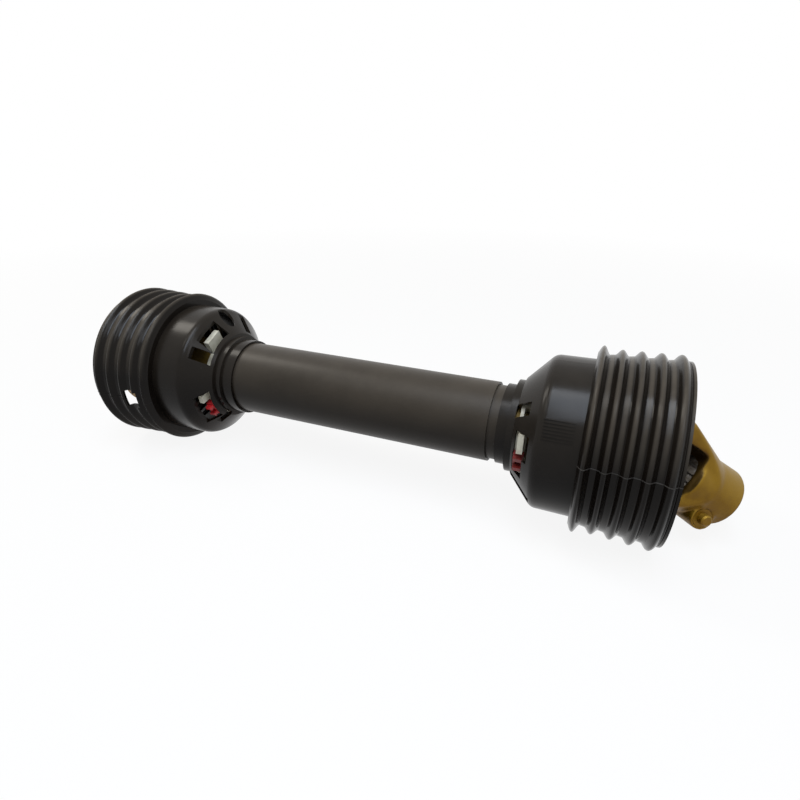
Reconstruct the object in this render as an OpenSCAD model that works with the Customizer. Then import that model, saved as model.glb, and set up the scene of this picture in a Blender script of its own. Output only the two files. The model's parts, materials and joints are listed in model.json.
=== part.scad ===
// Universal joint drive shaft: two splined end yokes on crosses, a telescoping
// lobed tube pair between them, and a plastic guard that turns on nylon rings.
// X runs along the shaft, Z is up and the origin is the middle of the shaft.

/* [Guard] */
// Distance between the mouths of the two bells, shaft closed
guard_length = 568.4; // [560:0.2:590]
// Outer diameter of the larger guard tube
guard_tube_d = 75; // [74:0.5:76]
// Wall of the guard tubes
guard_tube_wall = 2.2; // [2:0.1:2.4]
// Radius of the bell wall between the ribs, at the mouth
bell_mouth_r = 78.2; // [77:0.1:80]
// Radius of the bell wall between the ribs, at the cone
bell_root_r = 75.4; // [75:0.1:76]
// Wall of the bells
bell_wall = 2.3; // [2:0.1:2.6]
// Number of ribs on each bell
rib_count = 5; // [3:1:5]
// Distance from rib to rib
rib_pitch = 15.2; // [14:0.1:15.4]
// Height of the ribs over the wall
rib_height = 5; // [3:0.5:6]
// Height of the last rib, at the cone
end_rib_height = 7.3; // [5:0.1:7.5]
// Outer radius of the cylinder of each cone
cone_r = 70.5; // [70:0.1:71]
// Wall of the cones
cone_wall = 3; // [2.6:0.1:3.2]

/* [Shaft] */
// Distance from each bell mouth to the centre of its cross
cross_inset = 23.2; // [21:0.2:26]
// Distance from the centre of a lobed tube to the centre of its lobes
lobe_offset = 18.5; // [18:0.1:19]
// Radius of the lobes of the larger tube
lobe_r = 9; // [8.8:0.1:9.2]
// Wall of the lobed tubes
lobe_wall = 3.5; // [3:0.1:3.6]
// Sliding gap between the lobed tubes
lobe_gap = 0.4; // [0.3:0.05:0.5]
// Radius of the hubs of the inner yokes
inner_hub_r = 34.5; // [34:0.1:35]
// Distance from cross to hub end of the inner yokes
inner_hub_end = 106; // [105:1:108]

/* [Joints] */
// Distance over the faces of two opposite ears
ear_span = 82; // [80:0.5:84]
// Radius of the ears round their bearing
ear_r = 19.5; // [18.5:0.5:20]
// Diameter of the bearing caps
cap_d = 27; // [26:0.5:28]
// Distance over two opposite bearing caps
cap_span = 74.6; // [74:0.1:75]
// Diameter of the journals of the cross
journal_d = 17.6; // [17:0.1:18]
// Distance from cross to hub end of the end yokes
end_hub_end = 90; // [88:1:94]
// Radius of the hubs of the end yokes
end_hub_r = 28; // [27.5:0.1:28.4]
// Turn of the crosses' trunnions about the shaft
phase = 62.6; // [50:0.1:75]
// Tilt of the cross at end b, as the shaft lies
cross_tilt_b = -24.3; // [-25:0.1:0]
// Bend of the end yoke at end b, as the shaft lies
yoke_bend_b = 31.6; // [25:0.1:35]
// Tilt of the cross at end a, as the shaft lies
cross_tilt_a = 24.3; // [20:0.1:25]

/* [Spline] */
// Diameter over the grooves of the splined socket
spline_major_d = 34.9; // [34.8:0.1:35]
// Diameter between the teeth of the splined socket
spline_minor_d = 29.7; // [29.6:0.1:29.8]
// Width of the grooves of the splined socket
spline_groove = 8.7; // [8.6:0.1:8.8]
// Number of grooves
spline_count = 6; // [6:1:6]
// Diameter of the push pin
push_pin_d = 12; // [11.8:0.1:12.2]
// Travel of the push pin
push_travel = 7.5; // [6:0.5:7.5]

/* [Hidden] */
$fn = 72;

eps = 0.05;
// longer than any piece that it cuts
far = 120;
guard_colour = [0.10, 0.10, 0.10];
paint_colour = [0.80, 0.62, 0.13];
nylon_colour = [0.92, 0.90, 0.80];
steel_colour = [0.62, 0.62, 0.64];
zinc_colour = [0.75, 0.73, 0.66];
clip_colour = [0.80, 0.10, 0.10];
seal_colour = [0.12, 0.12, 0.13];

cross_x = guard_length / 2 - cross_inset;
// the bend of end a is set so that both hubs reach equally far out
yoke_bend_a = -acos(cos(cross_tilt_b) * cos(yoke_bend_b) / cos(cross_tilt_a));

// ---- bell: distances u run towards the middle of the shaft, from a plane just outside the mouth
mouth_u = 1.8;
datum_x = guard_length / 2 + mouth_u;
rib_first_u = 9.7;
rib_half_w = 5.4;
rib_power = 1.5;
bell_lip_w = 2.2;
bell_end_u = 74.8;
bell_flange_w = 2.6;
bell_hole = [42.2, 57.6];
bell_hole_w = 18;
bell_hole_turn_a = -7;
bell_hole_turn_b = 192;

// ---- cone
cone_flange_u = 64.5;
cone_flange_r = 73;
cone_seat_u = bell_end_u - bell_flange_w;
cone_shoulder_u = 103.7;
cone_shoulder_r = 10;
cone_slope = 48;
cone_tip_u = 130;
cone_ring_r = 42.7;
cone_ring_u = 136.6;
cone_neck_u_a = 149;
cone_neck_u_b = 146;
cone_neck_wall_a = 2.4;
cone_neck_wall_b = 2.6;
ring_stop_u = 127.1;
hub_nose_u = 134;
hub_nose_r = 36.4;
ring_bore_r = 31.8;
ring_w = 8;
ring_r = 43;
ring_u = ring_stop_u - 0.1 - ring_w;
// windows of each cone: angle, width, first u, last u
windows_a = [[67, 31, 113.5, 127], [40.5, 13, 112.5, 127.5], [-23, 38, 115.5, 127.5],
    [-52, 9, 121, 131], [125, 10, 111, 128], [187, 31, 113.5, 127], [220, 13, 112.5, 127.5]];
windows_b = [[44.5, 12, 118, 131], [11, 23, 114.5, 127.5], [-10, 20, 118.3, 127.9],
    [-37, 11, 109.5, 129.5], [129, 27, 114, 127], [164, 14, 112.5, 127.5], [249, 27, 114, 127]];
round_hole_r = 8.3;
round_hole_u = 115;
round_hole_turn_a = 99;
round_hole_turn_b = 205;
grip_count = 7;
grip_step = 2.15;
grip_span = [81, 105];
grip_h = 0.5;
grip_w = 0.9;
grip_turn_a = 235;
grip_turn_b = 23.7;
// tabs of the nylon rings: angle, width, outer radius, first u, last u
tabs_a = [[66, 20, 55, 115.6, 121.6], [-9.5, 9, 54, 116.5, 121.5], [187, 20, 55, 115.6, 121.6]];
tabs_b = [[13, 17, 54.5, 119.2, 124.2], [129, 18, 51, 119.2, 124.2], [249, 18, 51, 119.2, 124.2]];
// notches of the nylon rings: angle, width, last u
notches_a = [];
notches_b = [[45, 9, 124]];
clip_turn_a = -29;
clip_turn_b = -9.7;

// ---- tubes
outer_tube_r = guard_tube_d / 2;
inner_tube_r = outer_tube_r - guard_tube_wall - 0.4;
tube_seat_u = cone_ring_u + 0.4;
outer_tube_end = 131.6;
inner_tube_end = -118;
lobed_seat = 65;
lobed_reach = 130;
inner_lobe_r = lobe_r - lobe_wall - lobe_gap;

// ---- yokes and crosses
ear_in = 24;
ear_top_z = 14;
ear_side_z = 24;
ear_round_r = 43.6;
fork_clear_r = 44.3;
saddle_corner_r = 13;
cap_bore_r = journal_d / 2 + 0.06;
cap_in = 23.4;
cap_floor = 2.6;
clip_w = 1.5;
clip_deep = 1;
cross_core_r = 15.5;
journal_end = cap_span / 2 - cap_floor - 0.15;
nipple_r = 3;
nipple_seat_r = 4.6;
shoulder_r = 12.6;
shoulder_out = 20.8;
seal_w = 2.4;
groove_u = 98;
groove_w = ring_w + 0.8;
groove_r = 31.5;
roll_pin_r = 4;
roll_pin_z = 82;
end_root_z = 62;
inner_root_z = 64;
pin_r = push_pin_d / 2;
pin_x = -22;
pin_z = 69;
pin_boss_r = 11;
pin_boss_front = 25;
pin_boss_back = 21;
pin_waist_r = 3;
pin_chamber_y = 9.5;
pin_chamber_r = 8.6;
pin_collar = [21.8, 23.8];
pin_end = -22;
pin_nub_r = 5;
pin_nub_y = 30.6;
spring_wire_r = 0.6;
spring_r = 6.4;
spring_turns = 4;
socket_relief_r = 18.2;
socket_relief_z = 49;
socket_mouth = 2;

// ======== helpers

// a profile drawn as (u, radius) turned about the shaft axis, for end s = +1 or -1
module turned(s) {
    mirror([s < 0 ? 1 : 0, 0, 0]) translate([datum_x, 0, 0]) rotate([0, -90, 0])
        rotate_extrude($fn = 180) children();
}

// places a child drawn along +X at radius zero, at distance u and an angle up from -Y
module around(s, u, turn) {
    translate([s * (datum_x - u), 0, 0]) rotate([-turn, 0, 0]) rotate([0, 0, -90]) children();
}

// three lobes joined by flats
module lobed(r) {
    polygon([for (i = [0 : 2], side = [-60 : 6 : 60]) let (a = 90 + i * 120)
        [lobe_offset * cos(a) + r * cos(a + side), lobe_offset * sin(a) + r * sin(a + side)]]);
}

// a bar of a cross section along X from x0 to x1
module along_x(x0, x1) {
    translate([x0, 0, 0]) rotate([90, 0, 90]) linear_extrude(x1 - x0) children();
}

// ======== guard

function wall_r(u) = bell_mouth_r + (bell_root_r - bell_mouth_r)
    * (u - rib_first_u) / (rib_pitch * (rib_count - 1));
function rib_u(i) = rib_first_u + i * rib_pitch;
function rib_h(i) = i == rib_count - 1 ? end_rib_height : rib_height;
// one rounded rib that runs out softly into the wall, drawn up to an angle past its crest
function wave(i, drop, last) = [for (a = [-90 : 15 : last])
    [rib_u(i) + rib_half_w * a / 90,
     wall_r(rib_u(i)) - drop + rib_h(i) * pow(max(cos(a), 0), rib_power)]];

module bell(s, hole_turn) {
    outside = [for (i = [0 : rib_count - 1]) each wave(i, 0, i == rib_count - 1 ? 45 : 90)];
    inside = [for (i = [0 : rib_count - 1]) each wave(i, bell_wall, i == rib_count - 1 ? 30 : 90)];
    color(guard_colour) difference() {
        turned(s) polygon([for (p = concat(
            [[mouth_u, bell_mouth_r - bell_wall], [mouth_u, bell_mouth_r + 0.4],
             [mouth_u + bell_lip_w, bell_mouth_r + 0.4]],
            outside,
            [[bell_end_u - 0.6, wall_r(bell_end_u) + 2.2], [bell_end_u, wall_r(bell_end_u) + 1],
             [bell_end_u, cone_r + eps], [cone_seat_u, cone_r + eps],
             [cone_seat_u, wall_r(bell_end_u) - bell_wall + 1.5]],
            [for (i = [len(inside) - 1 : -1 : 0]) inside[i]])) [p[1], p[0]]]);
        around(s, (bell_hole[0] + bell_hole[1]) / 2, hole_turn)
            translate([60, -(bell_hole[1] - bell_hole[0]) / 2, -bell_hole_w / 2])
            cube([40, bell_hole[1] - bell_hole[0], bell_hole_w]);
    }
}

module window(s, w) {
    around(s, (w[2] + w[3]) / 2, w[0])
        translate([33.5, -(w[3] - w[2]) / 2, -w[1] / 2]) cube([50, w[3] - w[2], w[1]]);
}

module cone(s, neck_r, neck_wall, neck_u, windows, hole_turn, grip_turn) {
    corner = [for (a = [0 : 8 : cone_slope])
        [cone_shoulder_u + cone_shoulder_r * sin(a), cone_r - 0.5 - cone_shoulder_r * (1 - cos(a))]];
    last = corner[len(corner) - 1];
    tip_r = last[1] - (cone_tip_u - last[0]) * tan(cone_slope);
    // the inner face runs parallel to the cone, one wall in
    drop = cone_wall / cos(cone_slope);
    in_u = last[0] - (cone_r - cone_wall - last[1] + drop) / tan(cone_slope);
    stop_r = last[1] - drop - (ring_stop_u - last[0]) * tan(cone_slope);
    color(guard_colour) union() {
        difference() {
            turned(s) polygon([for (p = concat(
                [[cone_flange_u, cone_r - cone_wall], [cone_flange_u, cone_flange_r],
                 [cone_seat_u - eps, cone_flange_r], [cone_seat_u - eps, cone_r]],
                corner,
                [[cone_tip_u, tip_r], [cone_tip_u + 0.6, cone_ring_r], [cone_ring_u, cone_ring_r],
                 [cone_ring_u + 0.6, neck_r + neck_wall], [neck_u, neck_r + neck_wall],
                 [neck_u, neck_r + eps], [tube_seat_u, neck_r + eps],
                 [tube_seat_u, neck_r - 1.6], [hub_nose_u, neck_r - 1.6],
                 [hub_nose_u, hub_nose_r], [ring_stop_u, hub_nose_r],
                 [ring_stop_u, stop_r], [in_u, cone_r - cone_wall]])) [p[1], p[0]]]);
            for (w = windows) window(s, w);
            around(s, round_hole_u, hole_turn) translate([40, 0, 0])
                rotate([0, 90, 0]) cylinder(r = round_hole_r, h = 40);
        }
        for (i = [0 : grip_count - 1]) around(s, (grip_span[0] + grip_span[1]) / 2,
            grip_turn + i * grip_step) translate([cone_r - 1.5,
            -(grip_span[1] - grip_span[0]) / 2, -grip_w / 2])
            cube([1.5 + grip_h, grip_span[1] - grip_span[0], grip_w]);
    }
}

module bearing_ring(s, tabs, notches, split_turn) {
    color(nylon_colour) difference() {
        union() {
            turned(s) translate([ring_bore_r, ring_u]) square([ring_r - ring_bore_r, ring_w]);
            for (t = tabs) around(s, (t[3] + t[4]) / 2, t[0])
                translate([ring_r - 3, -(t[4] - t[3]) / 2, -t[1] / 2])
                cube([t[2] - ring_r + 3, t[4] - t[3], t[1]]);
        }
        for (n = notches) around(s, n[2] - ring_w / 2, n[0])
            translate([ring_bore_r - 4, -ring_w / 2, -n[1] / 2])
            cube([ring_r - ring_bore_r + 8, ring_w, n[1]]);
        around(s, ring_u + ring_w / 2, split_turn)
            translate([ring_bore_r - 4, -ring_w, -2]) cube([60, 2 * ring_w, 4]);
    }
}

// the clip bridges the split of the nylon ring and shows in the cone's window
module lock_clip(s, turn) {
    color(clip_colour) around(s, ring_u + ring_w / 2, turn) difference() {
        union() {
            translate([ring_r + 0.1, -4.2, -8]) cube([5.4, 8.4, 16]);
            for (z = [-6.6, 3.4]) translate([ring_r + 4, -3.6, z]) cube([6, 7.2, 3.2]);
            translate([ring_bore_r + 2, -ring_w / 2, -1.8]) cube([ring_r - ring_bore_r, ring_w, 3.6]);
        }
        translate([ring_r + 3, -2.2, -3]) cube([5, 4.4, 6]);
    }
}

module guard_tube(x0, x1, r, wall) {
    color(guard_colour) along_x(x0, x1) difference() {
        circle(r, $fn = 180);
        circle(r - wall, $fn = 180);
    }
}

// ======== shaft tubes

module lobed_tube(x0, x1, r, wall) {
    color(steel_colour) difference() {
        along_x(x0, x1) rotate(phase) difference() {
            lobed(r);
            lobed(r - wall);
        }
        for (s = [-1, 1]) roll_pin_hole(s);
    }
}

// the pin crosses the shaft along the trunnion direction of the inner yokes
module roll_pin_hole(s) {
    translate([s * (cross_x - roll_pin_z), 0, 0]) rotate([phase, 0, 0])
        cylinder(r = roll_pin_r + eps / 2, h = 90, center = true);
}

module roll_pin(s) {
    color(zinc_colour) translate([s * (cross_x - roll_pin_z), 0, 0]) rotate([phase, 0, 0])
        difference() {
            cylinder(r = roll_pin_r, h = 66, center = true);
            cylinder(r = roll_pin_r - 2, h = 70, center = true);
            translate([0, -0.8, -40]) cube([10, 1.6, 80]);
        }
}

// ======== joints, drawn with the hub along +Z and the trunnions along X

module circle_bar(x0, x1, r) {
    translate([x0, 0, 0]) rotate([0, 90, 0]) cylinder(r = r, h = x1 - x0);
}

// room between the ears for the other yoke, its corners rounded
module saddle() {
    round_x = ear_in - saddle_corner_r;
    round_z = fork_clear_r - saddle_corner_r;
    intersection() {
        circle_bar(-ear_in, ear_in, fork_clear_r);
        rotate([90, 0, 0]) linear_extrude(far, center = true) polygon(concat(
            [[-ear_in, -far / 2], [ear_in, -far / 2]],
            [for (a = [0 : 10 : 180]) [(a <= 90 ? round_x : -round_x) + saddle_corner_r * cos(a),
                round_z + saddle_corner_r * sin(a)]]));
    }
}

// a fork: two ears blended into a round hub
module fork(hub_r, root_z) {
    difference() {
        intersection() {
            // front outline
            rotate([90, 0, 0]) linear_extrude(far, center = true) polygon([
                [-ear_span / 2, -ear_r], [-ear_span / 2, ear_top_z], [-hub_r, root_z],
                [hub_r, root_z], [ear_span / 2, ear_top_z], [ear_span / 2, -ear_r]]);
            // side outline: round ears widening into the hub
            rotate([90, 0, 90]) linear_extrude(far, center = true) union() {
                circle(ear_r);
                polygon([[-ear_r, 0], [-ear_r, ear_side_z], [-hub_r, root_z], [hub_r, root_z],
                    [ear_r, ear_side_z], [ear_r, 0]]);
            }
            union() {
                sphere(r = ear_round_r, $fn = 96);
                cylinder(r = ear_round_r, h = ear_top_z);
                translate([0, 0, ear_top_z])
                    cylinder(r1 = ear_round_r, r2 = hub_r, h = root_z - ear_top_z);
            }
        }
        saddle();
        // bearing bores and circlip grooves
        circle_bar(-far / 2, far / 2, cap_d / 2 + eps / 2);
        for (s = [-1, 1]) mirror([s < 0 ? 1 : 0, 0, 0])
            circle_bar(cap_span / 2, cap_span / 2 + clip_w + 0.1, cap_d / 2 + clip_deep);
    }
}

module caps() {
    color(zinc_colour) for (s = [-1, 1]) mirror([s < 0 ? 1 : 0, 0, 0]) difference() {
        circle_bar(cap_in, cap_span / 2, cap_d / 2);
        circle_bar(cap_in - 1, cap_span / 2 - cap_floor, cap_bore_r);
    }
}

module circlips() {
    color(steel_colour) for (s = [-1, 1]) mirror([s < 0 ? 1 : 0, 0, 0]) difference() {
        circle_bar(cap_span / 2 + eps, cap_span / 2 + clip_w, cap_d / 2 + clip_deep - eps);
        circle_bar(cap_span / 2 - 1, cap_span / 2 + clip_w + 1, cap_d / 2 - 1.8);
        translate([0, -3.5, -20]) cube([60, 7, 20]);
    }
}

module cross() {
    color(steel_colour) difference() {
        union() {
            sphere(r = cross_core_r, $fn = 96);
            for (turn = [0, 90]) rotate([0, 0, turn]) {
                circle_bar(-journal_end, journal_end, journal_d / 2);
                circle_bar(-shoulder_out, shoulder_out, shoulder_r);
            }
        }
        // grease hole
        rotate([0, 0, 45]) circle_bar(2, 40, nipple_r + eps);
        rotate([0, 0, 45]) circle_bar(cross_core_r + 0.3, 40, nipple_seat_r);
    }
}

module cross_seals() {
    color(seal_colour) for (turn = [0 : 90 : 270]) rotate([0, 0, turn]) difference() {
        circle_bar(shoulder_out + 0.02, shoulder_out + seal_w, shoulder_r + 0.6);
        circle_bar(shoulder_out - 1, shoulder_out + seal_w + 1, journal_d / 2 + 0.02);
    }
}

module grease_nipple() {
    color(zinc_colour) rotate([0, 0, 45]) rotate([0, 90, 0]) union() {
        translate([0, 0, cross_core_r - 6]) cylinder(r = nipple_r, h = 8);
        translate([0, 0, cross_core_r + 0.3]) cylinder(r = 4.2, h = 4, $fn = 6);
        translate([0, 0, cross_core_r + 4]) cylinder(r = 1.9, h = 4);
        translate([0, 0, cross_core_r + 8]) sphere(r = 2.7, $fn = 48);
    }
}

module spline_socket() {
    circle(spline_minor_d / 2);
    intersection() {
        circle(spline_major_d / 2);
        for (i = [0 : spline_count / 2 - 1]) rotate(i * 360 / spline_count)
            square([spline_major_d + 4, spline_groove], center = true);
    }
}

module end_yoke() {
    color(paint_colour) difference() {
        union() {
            fork(end_hub_r + 0.5, end_root_z);
            difference() {
                union() {
                    translate([0, 0, socket_relief_z - 8])
                        cylinder(r = end_hub_r, h = end_hub_end - socket_relief_z + 5.5);
                    translate([0, 0, end_hub_end - 2.5])
                        cylinder(r1 = end_hub_r, r2 = end_hub_r - 2.5, h = 2.5);
                }
                saddle();
            }
            at_pin() translate([0, 0, -pin_boss_back])
                cylinder(r = pin_boss_r, h = pin_boss_back + pin_boss_front);
        }
        translate([0, 0, 30]) linear_extrude(80) spline_socket();
        translate([0, 0, 30]) cylinder(r = socket_relief_r, h = socket_relief_z - 30);
        translate([0, 0, end_hub_end - socket_mouth]) cylinder(r = socket_relief_r, h = 10);
        at_pin() {
            translate([0, 0, -pin_boss_back - 4])
                cylinder(r = pin_r + eps, h = pin_boss_back + 5 + pin_chamber_y);
            translate([0, 0, pin_chamber_y])
                cylinder(r = pin_chamber_r, h = pin_boss_front);
        }
    }
}

module at_pin() {
    translate([pin_x, 0, pin_z]) rotate([-90, 0, 0]) children();
}

module push_pin() {
    color(paint_colour) at_pin() union() {
        translate([0, 0, pin_end]) cylinder(r = pin_r, h = -pin_end);
        cylinder(r = pin_waist_r, h = pin_collar[0] + 1);
        translate([0, 0, pin_collar[0]])
            cylinder(r = pin_chamber_r - 0.2, h = pin_collar[1] - pin_collar[0]);
        translate([0, 0, pin_collar[1] - 1]) cylinder(r = pin_nub_r, h = pin_nub_y - pin_collar[1]);
        translate([0, 0, pin_nub_y - 1]) cylinder(r1 = pin_nub_r, r2 = pin_nub_r - 1.2, h = 1.2);
    }
}

// the cover ring closes the spring chamber and stops the collar
module pin_cover() {
    color(paint_colour) at_pin() difference() {
        translate([0, 0, pin_collar[1] + 0.1])
            cylinder(r = pin_chamber_r - 0.02, h = pin_boss_front - pin_collar[1] - 0.4);
        translate([0, 0, pin_collar[1] - 1]) cylinder(r = pin_nub_r + 0.1, h = 10);
    }
}

// the turns are separate rings at the spring's pitch
module pin_spring() {
    first = pin_chamber_y + spring_wire_r;
    step = (pin_collar[0] - pin_chamber_y - 2 * spring_wire_r - 0.1) / (spring_turns - 1);
    color(steel_colour) at_pin() for (i = [0 : spring_turns - 1])
        translate([0, 0, first + i * step]) rotate_extrude($fn = 48)
            translate([spring_r, 0]) circle(spring_wire_r, $fn = 24);
}

module inner_yoke(s) {
    color(paint_colour) difference() {
        inner_frame(s) difference() {
            union() {
                fork(inner_hub_r + 1, inner_root_z);
                difference() {
                    translate([0, 0, socket_relief_z - 8])
                        cylinder(r = inner_hub_r, h = inner_hub_end - socket_relief_z + 8);
                    saddle();
                }
            }
            difference() {
                translate([0, 0, groove_u - groove_w / 2])
                    cylinder(r = inner_hub_r + 10, h = groove_w);
                translate([0, 0, groove_u - groove_w]) cylinder(r = groove_r, h = 2 * groove_w);
            }
        }
        // socket of the lobed tube
        along_x(s > 0 ? cross_x - inner_hub_end - 1 : -cross_x + lobed_seat,
            s > 0 ? cross_x - lobed_seat : -cross_x + inner_hub_end + 1)
            rotate(phase) lobed((s > 0 ? inner_lobe_r : lobe_r) + eps);
        roll_pin_hole(s);
    }
}

// ======== places

// inner yokes: hub towards the middle of the shaft, trunnions turned by the phase
module inner_frame(s) {
    translate([s * cross_x, 0, 0]) rotate([phase, 0, 0]) rotate([0, -90 * s, 0]) children();
}

// crosses: tilted about the trunnions of the inner yoke
module cross_frame(s) {
    translate([s * cross_x, 0, 0]) rotate([phase, 0, 0])
        rotate([0, 0, s > 0 ? cross_tilt_b : cross_tilt_a]) rotate([90, 0, 90]) children();
}

// end yokes: bent about the other trunnions of the cross
module end_frame(s) {
    translate([s * cross_x, 0, 0]) rotate([phase, 0, 0])
        rotate([0, 0, s > 0 ? cross_tilt_b : cross_tilt_a])
        rotate([0, s > 0 ? yoke_bend_b : yoke_bend_a, 0])
        rotate([90, 0, s > 0 ? 90 : 270]) children();
}

// ======== nodes

module bell_a() { bell(-1, bell_hole_turn_a); }
module bell_b() { bell(1, bell_hole_turn_b); }
module cone_a() {
    cone(-1, outer_tube_r, cone_neck_wall_a, cone_neck_u_a, windows_a, round_hole_turn_a, grip_turn_a);
}
module cone_b() {
    cone(1, inner_tube_r, cone_neck_wall_b, cone_neck_u_b, windows_b, round_hole_turn_b, grip_turn_b);
}
module guard_tube_outer() {
    guard_tube(tube_seat_u - datum_x, outer_tube_end, outer_tube_r, guard_tube_wall);
}
module guard_tube_inner() {
    guard_tube(inner_tube_end, datum_x - tube_seat_u, inner_tube_r, guard_tube_wall);
}
module bearing_ring_a() { bearing_ring(-1, tabs_a, notches_a, clip_turn_a); }
module bearing_ring_b() { bearing_ring(1, tabs_b, notches_b, clip_turn_b); }
module lock_clip_a() { lock_clip(-1, clip_turn_a); }
module lock_clip_b() { lock_clip(1, clip_turn_b); }
module inner_yoke_a() { inner_yoke(-1); }
module inner_yoke_b() { inner_yoke(1); }
module profile_tube_outer() { lobed_tube(lobed_seat - cross_x, lobed_reach, lobe_r, lobe_wall); }
module profile_tube_inner() { lobed_tube(-lobed_reach, cross_x - lobed_seat, inner_lobe_r, lobe_wall); }
module roll_pin_a() { roll_pin(-1); }
module roll_pin_b() { roll_pin(1); }
module inner_caps_a() { inner_frame(-1) caps(); }
module inner_caps_b() { inner_frame(1) caps(); }
module inner_circlips_a() { inner_frame(-1) circlips(); }
module inner_circlips_b() { inner_frame(1) circlips(); }
module cross_a() { cross_frame(-1) cross(); }
module cross_b() { cross_frame(1) cross(); }
module cross_seals_a() { cross_frame(-1) cross_seals(); }
module cross_seals_b() { cross_frame(1) cross_seals(); }
module grease_nipple_a() { cross_frame(-1) grease_nipple(); }
module grease_nipple_b() { cross_frame(1) grease_nipple(); }
module end_yoke_a() { end_frame(-1) end_yoke(); }
module end_yoke_b() { end_frame(1) end_yoke(); }
module outer_caps_a() { end_frame(-1) caps(); }
module outer_caps_b() { end_frame(1) caps(); }
module outer_circlips_a() { end_frame(-1) circlips(); }
module outer_circlips_b() { end_frame(1) circlips(); }
module pin_spring_a() { end_frame(-1) pin_spring(); }
module pin_spring_b() { end_frame(1) pin_spring(); }
module pin_cover_a() { end_frame(-1) pin_cover(); }
module pin_cover_b() { end_frame(1) pin_cover(); }
module push_pin_a() { end_frame(-1) push_pin(); }
module push_pin_b() { end_frame(1) push_pin(); }

bell_a();
cone_a();
guard_tube_outer();
bearing_ring_a();
lock_clip_a();
inner_yoke_a();
profile_tube_outer();
roll_pin_a();
inner_caps_a();
inner_circlips_a();
cross_a();
grease_nipple_a();
cross_seals_a();
end_yoke_a();
outer_caps_a();
outer_circlips_a();
pin_spring_a();
pin_cover_a();
push_pin_a();
bell_b();
cone_b();
guard_tube_inner();
bearing_ring_b();
lock_clip_b();
inner_yoke_b();
profile_tube_inner();
roll_pin_b();
inner_caps_b();
inner_circlips_b();
cross_b();
grease_nipple_b();
cross_seals_b();
end_yoke_b();
outer_caps_b();
outer_circlips_b();
pin_spring_b();
pin_cover_b();
push_pin_b();
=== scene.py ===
# Dresses the universal joint shaft: a finish for every part, the parting lines of the bells,
# rounded forgings for the end yokes, then floor, light and camera.
import json
import math
import bpy
import bmesh
from mathutils import Matrix, Vector


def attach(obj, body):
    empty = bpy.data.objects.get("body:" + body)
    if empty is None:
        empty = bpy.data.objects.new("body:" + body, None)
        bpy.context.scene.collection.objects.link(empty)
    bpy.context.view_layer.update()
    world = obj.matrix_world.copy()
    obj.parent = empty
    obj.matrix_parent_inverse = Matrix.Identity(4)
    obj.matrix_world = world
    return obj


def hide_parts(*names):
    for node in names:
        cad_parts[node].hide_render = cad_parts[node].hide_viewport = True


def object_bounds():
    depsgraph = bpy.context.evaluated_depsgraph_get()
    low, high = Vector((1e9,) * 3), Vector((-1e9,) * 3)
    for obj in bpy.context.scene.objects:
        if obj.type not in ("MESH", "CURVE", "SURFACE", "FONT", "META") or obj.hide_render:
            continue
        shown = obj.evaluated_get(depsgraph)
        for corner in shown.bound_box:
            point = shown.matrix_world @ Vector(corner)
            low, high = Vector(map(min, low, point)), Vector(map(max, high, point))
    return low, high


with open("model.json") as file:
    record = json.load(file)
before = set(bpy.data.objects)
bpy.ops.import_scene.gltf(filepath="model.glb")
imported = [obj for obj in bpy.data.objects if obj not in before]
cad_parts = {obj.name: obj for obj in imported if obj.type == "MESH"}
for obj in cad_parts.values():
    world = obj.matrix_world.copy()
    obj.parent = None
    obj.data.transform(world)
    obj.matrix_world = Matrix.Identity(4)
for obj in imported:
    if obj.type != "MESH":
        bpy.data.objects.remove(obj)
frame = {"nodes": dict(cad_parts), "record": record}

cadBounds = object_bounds()
nodes = frame["nodes"]
print("frame loaded:", len(nodes), "nodes")


class Value:
    # a socket that can be used in plain sums
    def __init__(self, shader, socket):
        self.shader = shader
        self.socket = socket

    # another output of the same node
    def beside(self, name):
        return Value(self.shader, self.socket.node.outputs[name])

    def __add__(self, other):
        return self.shader.calc("ADD", self, other)

    def __radd__(self, other):
        return self.shader.calc("ADD", other, self)

    def __sub__(self, other):
        return self.shader.calc("SUBTRACT", self, other)

    def __rsub__(self, other):
        return self.shader.calc("SUBTRACT", other, self)

    def __mul__(self, other):
        return self.shader.calc("MULTIPLY", self, other)

    def __rmul__(self, other):
        return self.shader.calc("MULTIPLY", other, self)

    def __truediv__(self, other):
        return self.shader.calc("DIVIDE", self, other)

    def __rtruediv__(self, other):
        return self.shader.calc("DIVIDE", other, self)


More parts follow.
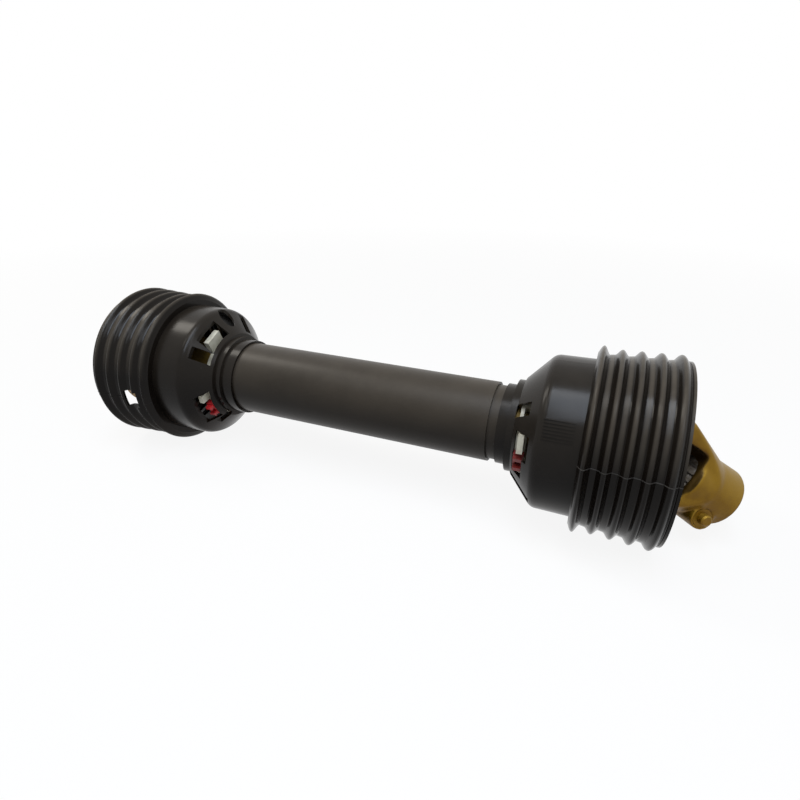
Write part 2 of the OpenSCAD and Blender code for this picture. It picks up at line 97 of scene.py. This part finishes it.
class Shader:
    # the nodes of one material, or of the world
    def __init__(self, owner):
        owner.use_nodes = True
        self.owner = owner
        self.tree = owner.node_tree
        self.tree.nodes.clear()

    def node(self, kind, settings=None, sockets=None, output=0):
        made = self.tree.nodes.new(kind)
        for key, value in (settings or {}).items():
            setattr(made, key, value)
        for key, value in (sockets or {}).items():
            self.feed(made.inputs[key], value)
        return Value(self, made.outputs[output]) if made.outputs else None

    def feed(self, socket, value):
        if isinstance(value, Value):
            self.tree.links.new(value.socket, socket)
        elif isinstance(value, tuple) and len(value) == 3 and len(socket.default_value) == 4:
            socket.default_value = (*value, 1)
        else:
            socket.default_value = value

    def principled(self, **values):
        sockets = {key.replace("_", " "): value for key, value in values.items()}
        return self.node("ShaderNodeBsdfPrincipled", {}, sockets)

    # closes a material with the shader that its surface shows
    def close(self, surface):
        self.node("ShaderNodeOutputMaterial", {}, {"Surface": surface})
        return self.owner

    def calc(self, operation, *values):
        return self.node("ShaderNodeMath", {"operation": operation}, dict(enumerate(values)))

    def vector(self, operation, *values, output="Vector"):
        return self.node("ShaderNodeVectorMath", {"operation": operation},
                         dict(enumerate(values)), output)

    # where a point lies on the part, in metres
    def spot(self):
        return self.node("ShaderNodeTexCoord", output="Object")

    # which way the surface looks there
    def normal(self):
        return self.node("ShaderNodeTexCoord", output="Normal")

    def parts(self, spot):
        split = self.node("ShaderNodeSeparateXYZ", {}, {0: spot})
        return [split.beside(axis) for axis in "XYZ"]

    def noise(self, size, detail, rough=0.55, stretch=(1, 1, 1)):
        place = self.node("ShaderNodeMapping", {}, {"Vector": self.spot(), "Scale": stretch})
        return self.node("ShaderNodeTexNoise", {}, {
            "Vector": place, "Scale": size, "Detail": detail, "Roughness": rough})

    def spread(self, value, low, high, first=0.0, last=1.0):
        return self.node("ShaderNodeMapRange", {"clamp": True}, {
            "Value": value, "From Min": low, "From Max": high, "To Min": first, "To Max": last})

    # socket 0 is the factor, 6 and 7 are the colours, and output 2 is their mix
    def mix(self, factor, first, second):
        return self.node("ShaderNodeMix", {"data_type": "RGBA"},
                         {0: factor, 6: first, 7: second}, 2)

    def bump(self, height, strength, distance):
        return self.node("ShaderNodeBump", {}, {
            "Height": height, "Strength": strength, "Distance": distance})

    # 1 on the upper side of a round part of the guard, 0 below it
    def topSide(self, low, high):
        spot = self.spot()
        flat = self.vector("MULTIPLY", spot, (0, 1, 1))
        away = self.vector("LENGTH", flat, output="Value")
        return self.spread(self.parts(spot)[2] / away, low, high)

    # painted highlight: 1 along the crests of the bell's ribs and the floors between them, low on
    # their flanks
    def ribSheenLines(self, look):
        away = self.calc("ABSOLUTE", self.parts(self.spot())[0])
        turn = (away - look["crestAt"]) * (4 * math.pi / look["pitch"])
        return self.spread(self.calc("COSINE", turn), *look["wave"], look["flank"], 1.0)

    # 1 where a surface near a universal joint looks towards the joint's middle, 0 elsewhere
    def inside(self, look):
        spot = self.spot()
        side = self.calc("SIGN", self.parts(spot)[0])
        middle = self.node("ShaderNodeCombineXYZ", {}, {"X": side * look["centre"]})
        way = self.vector("NORMALIZE", self.vector("SUBTRACT", middle, spot))
        facing = self.vector("DOT_PRODUCT", way, self.normal(), output="Value")
        far = self.vector("DISTANCE", middle, spot, output="Value")
        return self.spread(facing, *look["facing"]) * self.spread(far, *look["reach"])

    # 1 inside the splined socket of a yoke, 0 outside it
    def socketBore(self, look):
        arm = self.vector("SUBTRACT", self.spot(), look["centre"])
        across = self.vector("CROSS_PRODUCT", arm, look["hub"])
        away = self.vector("LENGTH", across, output="Value")
        along = self.vector("DOT_PRODUCT", arm, look["hub"], output="Value")
        return self.spread(away, *look["radii"]) * self.spread(along, *look["depths"])

    # 1 on a surface that looks up, 0 on one that looks down
    def lookingUp(self, low, high):
        return self.spread(self.parts(self.normal())[2], low, high)


# black plastic with dust on the upper side, on the bells laid along the ribs as a painted
# highlight, a warmer brown towards the lower side, and rubbed patches
def guardPlastic(name, look):
    s = Shader(bpy.data.materials.new(name))
    cloud = s.noise(*look["cloud"])
    scuff = s.noise(*look["scuff"])
    fine = s.noise(*look["fine"])
    dustAndSheen = s.topSide(*look["upper"])
    # on the bells the dust follows the rib lines: dust and a painted highlight on the crests and
    # floors
    if look["ribs"]:
        dustAndSheen = dustAndSheen * s.ribSheenLines(look["ribs"])
    under = s.topSide(*look["under"])
    patchy = s.spread(s.noise(*look["patch"]), *look["patchSpread"])
    rub = s.spread(scuff, *look["rubbed"])
    colour = s.mix(s.spread(cloud, *look["mottle"]), look["dark"], look["light"])
    colour = s.mix(dustAndSheen * patchy * look["dust"], colour, look["dustColour"])
    # a warmer brown towards the lower side
    colour = s.mix(under * patchy * look["lowWarmth"], colour, look["lowWarmthColour"])
    colour = s.mix(rub * look["scuffs"], colour, look["scuffColour"])
    rough = s.spread(cloud, *look["roughOver"], *look["rough"])
    height = (cloud * look["cloudHeight"] + scuff * look["scuffHeight"]
              + fine * look["fineHeight"])
    return s.close(s.principled(
        Base_Color=colour, Roughness=rough + rub * look["scuffDull"] + dustAndSheen * look["dustDull"],
        Normal=s.bump(height, look["bump"], look["bumpDepth"]), IOR=look["ior"],
        Specular_IOR_Level=look["shine"]))


# each noise: size, detail, roughness and stretch
bellLook = {
    "cloud": (22.0, 4.0), "scuff": (60.0, 6.0, 0.7, (0.5, 1.0, 1.0)), "fine": (900.0, 2.0),
    "patch": (16.0, 5.0, 0.65), "patchSpread": (0.25, 0.75, 0.45, 1.0),
    "mottle": (0.3, 0.7), "dark": (0.0034, 0.0024, 0.0018), "light": (0.0062, 0.0046, 0.0035),
    # ribs: the lines of dust and painted highlight along the bell's ribs
    "ribs": {"crestAt": 0.2155, "pitch": 0.0152, "wave": (-0.4, 0.8), "flank": 0.12},
    "upper": (0.18, 0.85), "dust": 0.80, "dustColour": (0.115, 0.095, 0.072), "dustDull": 0.06,
    "under": (-0.35, -0.95), "lowWarmth": 0.60, "lowWarmthColour": (0.030, 0.017, 0.010),
    "rubbed": (0.60, 0.72), "scuffs": 0.20, "scuffColour": (0.030, 0.026, 0.022),
    "scuffDull": 0.08, "roughOver": (0.25, 0.75), "rough": (0.13, 0.19), "cloudHeight": 0.35,
    "scuffHeight": 0.5, "fineHeight": 0.08, "bump": 0.16, "bumpDepth": 0.0004, "ior": 1.5,
    "shine": 0.12}
coneLook = dict(bellLook, cloud=(30.0, 4.0), ribs=None, upper=(-0.1, 1.0), dust=0.20,
                dustDull=0.02, rough=(0.17, 0.25))
tubeLook = dict(coneLook, cloud=(9.0, 4.0), scuff=(45.0, 6.0, 0.7, (0.06, 1.0, 1.0)),
                dark=(0.0080, 0.0058, 0.0038), light=(0.0128, 0.0094, 0.0062), dust=0.52,
                scuffs=0.14, rough=(0.32, 0.42), bump=0.20, shine=0.16)


# moulded nylon, with grime in patches
def nylon(name, look):
    s = Shader(bpy.data.materials.new(name))
    cloud = s.noise(*look["cloud"])
    grime = s.spread(s.noise(*look["grimeNoise"]), *look["grimy"])
    colour = s.mix(s.spread(cloud, *look["mottle"]), look["base"], look["warm"])
    colour = s.mix(grime * look["grime"], colour, look["grimeColour"])
    return s.close(s.principled(
        Base_Color=colour, Roughness=s.spread(cloud, *look["roughOver"], *look["rough"]),
        Normal=s.bump(s.noise(*look["fine"]), look["bump"], look["bumpDepth"]), IOR=look["ior"]))


nylonLook = {
    "cloud": (40.0, 4.0), "mottle": (0.3, 0.7), "base": (0.56, 0.54, 0.44),
    "warm": (0.44, 0.40, 0.30), "grimeNoise": (70.0, 5.0, 0.7), "grimy": (0.48, 0.70),
    "grime": 0.6, "grimeColour": (0.17, 0.14, 0.10), "roughOver": (0.2, 0.8),
    "rough": (0.36, 0.52), "fine": (500.0, 2.0), "bump": 0.15, "bumpDepth": 0.0003, "ior": 1.53}
clipLook = dict(nylonLook, base=(0.44, 0.008, 0.012), warm=(0.24, 0.007, 0.009), grime=0.40,
                grimeColour=(0.10, 0.02, 0.02))
# the clip at end b: the red clip darkened as painted shade
shadedClipLook = dict(clipLook, base=(0.20, 0.016, 0.013), warm=(0.13, 0.012, 0.010), grime=0.6,
                    grimeColour=(0.035, 0.012, 0.010))


# golden coat on a forging: painted lighter on top as painted light, greasy and darkened as painted
# shade round the joint, bare and oily in the socket
def forgedCoat(name, look):
    s = Shader(bpy.data.materials.new(name))
    cloud = s.noise(*look["cloud"])
    pit = s.noise(*look["pit"])
    wear = s.spread(s.noise(*look["wearNoise"]), *look["worn"])
    dirt = s.spread(s.noise(*look["dirtNoise"]), *look["dirty"])
    colour = s.mix(s.spread(cloud, *look["mottle"]), look["deep"], look["bright"])
    colour = s.mix(dirt * look["dirt"], colour, look["dirtColour"])
    colour = s.mix(wear * look["wear"], colour, look["bareColour"])
    # painted light: the coat is made lighter on surfaces that look up
    colour = s.mix(s.lookingUp(*look["upper"]) * look["fade"], colour, look["topLightColour"])
    # grease and painted shade: surfaces that face the joint's middle are darkened
    grease = s.inside(look["joint"])
    colour = s.mix(grease * look["grease"], colour, look["greaseColour"])
    metal = look["metal"] + wear * look["wear"] * look["wornMetal"]
    socket = look["socket"]
    if socket:
        bare = s.socketBore(socket)
        oil = s.spread(s.noise(*socket["oilNoise"]), *socket["oily"])
        colour = s.mix(bare, colour, s.mix(oil, socket["steel"], socket["oil"]))
        metal = metal + bare * (socket["metal"] - metal)
    height = pit * look["pitHeight"] + cloud * look["cloudHeight"]
    return s.close(s.principled(
        Base_Color=colour, Roughness=s.spread(cloud, *look["roughOver"], *look["rough"]),
        Metallic=metal, Normal=s.bump(height, look["bump"], look["bumpDepth"]), IOR=look["ior"],
        Specular_IOR_Level=look["shine"]))


coatLook = {
    "cloud": (35.0, 4.0), "pit": (420.0, 3.0, 0.6), "mottle": (0.3, 0.7),
    "deep": (0.138, 0.065, 0.003), "bright": (0.210, 0.112, 0.006),
    "dirtNoise": (55.0, 5.0, 0.65), "dirty": (0.52, 0.75), "dirt": 0.45,
    "dirtColour": (0.095, 0.042, 0.005), "wearNoise": (120.0, 6.0, 0.7), "worn": (0.66, 0.74),
    # upper and fade: how much lighter the coat is painted, as painted light, on surfaces that look
    # up
    "wear": 0.18, "bareColour": (0.30, 0.20, 0.08), "upper": (0.15, 0.85), "fade": 0.60,
    "topLightColour": (0.37, 0.230, 0.030),
    # joint and grease: grease and painted shade on the faces round the joint
    "joint": {"centre": 0.261, "facing": (-0.10, 0.30), "reach": (0.066, 0.058)},
    "grease": 0.85, "greaseColour": (0.040, 0.020, 0.005), "socket": None,
    "roughOver": (0.25, 0.75), "rough": (0.34, 0.48), "metal": 0.45, "wornMetal": 0.4,
    "pitHeight": 0.6, "cloudHeight": 1.2, "bump": 0.40, "bumpDepth": 0.0006, "ior": 1.5,
    "shine": 0.20}
# the inner yokes: the golden coat darkened as painted shade, with an oily film
oilyShadedLook = dict(coatLook, deep=(0.040, 0.024, 0.007), bright=(0.085, 0.052, 0.012), dirt=0.65,
                 dirtColour=(0.022, 0.013, 0.005), fade=0.2, wear=0.10)
socketLook = {
    "radii": (0.0188, 0.0184), "depths": (0.030, 0.032), "steel": (0.20, 0.19, 0.18),
    "oil": (0.08, 0.065, 0.045), "oilNoise": (180.0, 3.0), "oily": (0.35, 0.65), "metal": 0.9}


# brushed steel with stains
def steel(name, look):
    s = Shader(bpy.data.materials.new(name))
    cloud = s.noise(*look["cloud"])
    brush = s.noise(*look["brush"])
    stain = s.spread(s.noise(*look["stainNoise"]), *look["stained"])
    colour = s.mix(s.spread(cloud, *look["mottle"]), look["dark"], look["light"])
    colour = s.mix(stain * look["stain"], colour, look["stainColour"])
    rough = s.spread(brush, *look["roughOver"], *look["rough"])
    return s.close(s.principled(
        Base_Color=colour, Metallic=look["metal"], Roughness=rough + stain * look["stainDull"],
        Normal=s.bump(brush, look["bump"], look["bumpDepth"])))


steelLook = {
    "cloud": (30.0, 4.0), "mottle": (0.3, 0.7), "dark": (0.40, 0.40, 0.41),
    "light": (0.56, 0.56, 0.57), "brush": (500.0, 4.0, 0.6, (0.04, 1.0, 1.0)),
    "stainNoise": (80.0, 5.0, 0.7), "stained": (0.55, 0.72), "stain": 0.5,
    "stainColour": (0.22, 0.17, 0.12), "stainDull": 0.12, "roughOver": (0.3, 0.7),
    "rough": (0.28, 0.42), "bump": 0.2, "bumpDepth": 0.0002, "metal": 1.0}
springLook = dict(steelLook, dark=(0.10, 0.10, 0.11), light=(0.17, 0.17, 0.18),
                  rough=(0.30, 0.45))
capLook = dict(steelLook, brush=(500.0, 4.0, 0.6), dark=(0.15, 0.145, 0.14),
               light=(0.24, 0.235, 0.23), rough=(0.44, 0.60), stain=0.6,
               stainColour=(0.07, 0.05, 0.03), metal=0.8)
crossLook = dict(steelLook, dark=(0.24, 0.23, 0.22), light=(0.34, 0.33, 0.32), rough=(0.34, 0.5))
zincLook = dict(steelLook, dark=(0.60, 0.57, 0.46), light=(0.72, 0.69, 0.58), rough=(0.26, 0.4),
                stain=0.35)


# black rubber, shiny where grease lies on it
def sealRubber(name, look):
    s = Shader(bpy.data.materials.new(name))
    grease = s.spread(s.noise(*look["greaseNoise"]), *look["greasy"])
    return s.close(s.principled(
        Base_Color=s.mix(grease * look["grease"], look["black"], look["greaseColour"]),
        Roughness=look["rough"] - grease * look["gloss"],
        Normal=s.bump(s.noise(*look["cloud"]), look["bump"], look["bumpDepth"]),
        IOR=look["ior"]))


sealLook = {
    "cloud": (60.0, 4.0), "greaseNoise": (90.0, 4.0, 0.6), "greasy": (0.5, 0.65), "grease": 0.6,
    "black": (0.018, 0.018, 0.019), "greaseColour": (0.055, 0.040, 0.022), "rough": 0.62,
    "gloss": 0.3, "bump": 0.3, "bumpDepth": 0.0003, "ior": 1.5}

# one finish for each material slot of the record, and three parts with a finish of their own
finishes = {
    "bell": guardPlastic("bellBlack", bellLook), "cone": guardPlastic("coneBlack", coneLook),
    "guard_tube": guardPlastic("tubeBlack", tubeLook), "nylon": nylon("nylonWhite", nylonLook),
    "clip": nylon("clipRed", clipLook), "yoke_paint": forgedCoat("yokeGold", coatLook),
    "tube_steel": steel("drawnSteel", steelLook), "spring_steel": steel("springSteel", springLook),
    "cap_steel": steel("capSteel", capLook), "cross_steel": steel("crossSteel", crossLook),
    "zinc": steel("zincPlate", zincLook), "seal_rubber": sealRubber("sealBlack", sealLook)}
# the inner yokes and the clip at end b get darkened copies of their finishes, as painted shade
special = {"inner_yoke_a": forgedCoat("yokeOilyShaded", oilyShadedLook),
           "lock_clip_b": nylon("clipShaded", shadedClipLook)}
special["inner_yoke_b"] = special["inner_yoke_a"]
for part in frame["record"]["subparts"]:
    node = nodes[part["node"]]
    node.data.materials.clear()
    node.data.materials.append(special.get(part["node"], finishes[part["material_slot"]]))
print("finishes made:", len(finishes))


mergeWithin = 0.000002  # a CAD node's mesh is loose triangles, so a copy of it is merged


def mergedCopy(node):
    copy = bmesh.new()
    copy.from_mesh(nodes[node].data)
    bmesh.ops.remove_doubles(copy, verts=copy.verts, dist=mergeWithin)
    return copy


# a new object with the shape that a bmesh holds
def newPiece(name, shape):
    mesh = bpy.data.meshes.new(name)
    shape.to_mesh(mesh)
    shape.free()
    made = bpy.data.objects.new(name, mesh)
    bpy.context.scene.collection.objects.link(made)
    return made


# a fine raised line where the halves of a mould met: a cut through a part's skin, made a bead
def partingLine(name, look):
    skin = mergedCopy(look["node"])
    skin.normal_update()
    inner = [face for face in skin.faces if not look["keeps"](face)]
    bmesh.ops.delete(skin, geom=inner, context="FACES")
    bmesh.ops.bisect_plane(skin, geom=skin.verts[:] + skin.edges[:] + skin.faces[:],
                           plane_co=look["through"], plane_no=look["across"],
                           clear_inner=True, clear_outer=True)
    made = newPiece(name, skin)
    bpy.context.view_layer.objects.active = made
    made.select_set(True)
    bpy.ops.object.convert(target="CURVE")
    made.data.bevel_depth = look["bead"]
    made.data.bevel_resolution = look["roundness"]
    made.data.use_fill_caps = True
    bpy.ops.object.convert(target="MESH")
    made.select_set(False)
    made.data.materials.clear()
    made.data.materials.append(look["finish"])
    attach(made, look["body"])


# picks the outer skin of a bell, on one side of the shaft's axis
def outerSkin(side, look):
    def keeps(face):
        spot = face.calc_center_median()
        spoke = Vector((0, spot.y, spot.z))
        outward = face.normal.dot(spoke.normalized()) > look["outward"]
        return spoke.length > look["lowest"] and spoke.dot(side) > 0 and outward
    return keeps


# a line runs through the middle of the bell's hole, turned by these degrees, and opposite it
bellLineLook = {"turn": {"a": -7.0, "b": 12.0}, "halves": (0, 180), "through": (0, 0, 0),
                "bead": 0.00045, "roundness": 2, "lowest": 0.060, "outward": 0.1}
rubbedLook = dict(coneLook, dark=(0.012, 0.011, 0.010), light=(0.042, 0.038, 0.034), dust=0.2,
                  lowWarmth=0.2)
lineFinish = {"a": finishes["bell"], "b": guardPlastic("rubbedLine", rubbedLook)}

for picked in list(bpy.context.selected_objects):
    picked.select_set(False)
for end in ("a", "b"):
    for half in bellLineLook["halves"]:
        angle = math.radians(bellLineLook["turn"][end] + half)
        spoke = Vector((0, -math.cos(angle), math.sin(angle)))
        partingLine(f"bell_{end}_line_{half}", dict(
            bellLineLook, node=f"bell_{end}", body=f"guard_{end}", slot="bell",
            keeps=outerSkin(spoke, bellLineLook), across=spoke.cross(Vector((1, 0, 0))),
            finish=lineFinish[end]))
print("parting lines made")


# a yoke's joint centre, and its axes: through its ears, along its push pin, along its hub
def yokeAxes(end):
    joints = {joint["name"]: joint for joint in frame["record"]["behaviour"]["joints"]}
    mounts = {mount["name"]: mount for mount in frame["record"]["mounts"]}
    pin = -Vector(joints[f"pin_{end}_push"]["axis"])
    hub = Vector(mounts[f"spline_socket_{end}"]["axis"])
    return Vector(joints[f"yoke_{end}_turn"]["pos_m"]), pin.cross(hub), pin, hub


# makes an object's modifiers part of its mesh
def bake(made):
    graph = bpy.context.evaluated_depsgraph_get()
    mesh = bpy.data.meshes.new_from_object(made.evaluated_get(graph))
    made.modifiers.clear()
    made.data = mesh


def smooth(made, name, rounds, group=""):
    even = made.modifiers.new(name, "SMOOTH")
    even.iterations = rounds
    even.vertex_group = group
    bake(made)


# 0 to 1: how far a place on a yoke, along its axes, lies from the places that are machined
def forgedShare(x, y, z, look):
    pinX, pinZ = look["pinAt"]
    room = [math.hypot(y, z) - look["earBore"], look["hubFace"] - z,
            math.hypot(x - pinX, z - pinZ) - look["pinBore"]]
    if z > look["socketFrom"]:
        room.append(math.hypot(x, y) - look["socket"])
    return min(max(min(room) / look["fade"], 0), 1)


# an end yoke with the corners of its forging rounded, and its machined places left sharp
def forging(end, look):
    centre, ears, pin, hub = yokeAxes(end)
    made = newPiece(f"end_yoke_{end}_forging", mergedCopy(f"end_yoke_{end}"))
    grid = made.modifiers.new("grid", "REMESH")
    grid.mode = "VOXEL"
    grid.voxel_size = look["voxel"]
    smooth(made, "even", look["even"])
    free = made.vertex_groups.new(name="forged")
    for vertex in made.data.vertices:
        spot = vertex.co - centre
        share = forgedShare(spot.dot(ears), spot.dot(pin), spot.dot(hub), look)
        free.add([vertex.index], share, "REPLACE")
    smooth(made, "rounding", look["rounding"], "forged")
    for face in made.data.polygons:
        face.use_smooth = True
    socket = dict(socketLook, centre=tuple(centre), hub=tuple(hub))
    made.data.materials.clear()
    made.data.materials.append(forgedCoat(f"yokeGold{end.upper()}", dict(coatLook, socket=socket)))
    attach(made, f"yoke_{end}")
    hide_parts(f"end_yoke_{end}")
    return made


# radii and places in metres: the bores, the hub's face and the pin's hole stay sharp
forgingLook = {"voxel": 0.0008, "even": 3, "rounding": 60, "fade": 0.0025,
               "earBore": 0.0165, "socketFrom": 0.028, "socket": 0.0205, "hubFace": 0.0865,
               "pinAt": (-0.022, 0.069), "pinBore": 0.0098}
for end in ("a", "b"):
    piece = forging(end, forgingLook)
    print("forging", end, len(piece.data.polygons), "faces")


# 1 for the rays that show the surroundings to the camera, straight or in a gloss, else 0
def shown(s):
    seen = ray = s.node("ShaderNodeLightPath", output="Is Camera Ray")
    for kind in ("Is Glossy Ray", "Is Transmission Ray"):
        seen = s.calc("MAXIMUM", seen, ray.beside(kind))
    return seen


stageLook = {"floorSize": 16.0, "floorColour": (0.86, 0.86, 0.86), "floorRough": 0.9,
             "fadeFrom": 0.5, "fadeTo": 1.6, "nearWhite": 0.90, "ambient": 0.18}


# a pale floor that keeps the shadow near the part and goes white further out
def stageFloor(look):
    grid = bmesh.new()
    bmesh.ops.create_grid(grid, x_segments=1, y_segments=1, size=look["floorSize"] / 2)
    bmesh.ops.translate(grid, verts=grid.verts, vec=(0, 0, cadBounds[0][2]))
    floor = newPiece("floor", grid)
    s = Shader(bpy.data.materials.new("floorPale"))
    pale = s.principled(Base_Color=look["floorColour"], Roughness=look["floorRough"])
    away = s.vector("LENGTH", s.spot(), output="Value")
    glow = s.spread(away, look["fadeFrom"], look["fadeTo"], look["nearWhite"], 1.0)
    white = s.node("ShaderNodeEmission", {}, {"Color": (1, 1, 1), "Strength": 1.0})
    floor.data.materials.append(s.close(
        s.node("ShaderNodeMixShader", {}, {0: shown(s) * glow, 1: pale, 2: white})))


def stageWorld(look):
    world = bpy.data.worlds.new("studio")
    bpy.context.scene.world = world
    s = Shader(world)
    level = s.spread(shown(s), 0.0, 1.0, look["ambient"], 1.0)
    light = s.node("ShaderNodeBackground", {}, {"Color": (1, 1, 1), "Strength": level})
    s.node("ShaderNodeOutputWorld", {}, {"Surface": light})


lampLook = {
    "front": {"at": (0.20, -0.44, 1.25), "to": (0.15, -0.05, 0.0), "size": (0.36, 1.0),
              "power": 12.5, "colour": (0.75, 0.85, 1.0)},
    "right": {"at": (0.95, -0.35, 1.05), "to": (0.25, -0.05, 0.0), "size": (0.30, 1.1),
              "power": 4.0, "colour": (0.90, 0.94, 1.0)},
    "high": {"at": (-0.25, -0.35, 1.30), "to": (0.22, -0.02, 0.0), "size": (0.22, 1.1),
             "power": 3.0, "colour": (1.0, 0.96, 0.88)},
    "left": {"at": (-1.10, 0.10, 1.25), "to": (-0.12, 0.0, 0.0), "size": (0.42, 0.75),
             "power": 8.4, "colour": (1.0, 0.95, 0.86)}}


def stageLamp(name, look):
    data = bpy.data.lights.new(name, "AREA")
    data.shape = "RECTANGLE"
    data.size, data.size_y = look["size"]
    data.energy = look["power"]
    data.color = look["colour"]
    made = bpy.data.objects.new(name, data)
    bpy.context.scene.collection.objects.link(made)
    way = Vector(look["to"]) - Vector(look["at"])
    turn = way.to_track_quat("-Z", "Y").to_matrix().to_4x4()
    made.matrix_world = Matrix.Translation(look["at"]) @ turn


cameraLook = {"at": (0.2148, -0.4434, 0.2458), "right": (0.92753, 0.37374, 0.00029),
              "up": (-0.16880, 0.41822, 0.89253), "back": (0.33345, -0.82790, 0.45100),
              "lens": 24.3, "sensor": 36.0, "nearest": 0.01}


def stageCamera(look):
    data = bpy.data.cameras.new("camera")
    data.lens = look["lens"]
    data.sensor_fit = "HORIZONTAL"
    data.sensor_width = look["sensor"]
    data.clip_start = look["nearest"]
    made = bpy.data.objects.new("camera", data)
    bpy.context.scene.collection.objects.link(made)
    turn = Matrix([look["right"], look["up"], look["back"]]).transposed().to_4x4()
    made.matrix_world = Matrix.Translation(look["at"]) @ turn
    bpy.context.scene.camera = made


stageFloor(stageLook)
stageWorld(stageLook)
for name, look in lampLook.items():
    stageLamp(name, look)
stageCamera(cameraLook)
bpy.context.scene.view_settings.view_transform = "Standard"
print("stage ready")
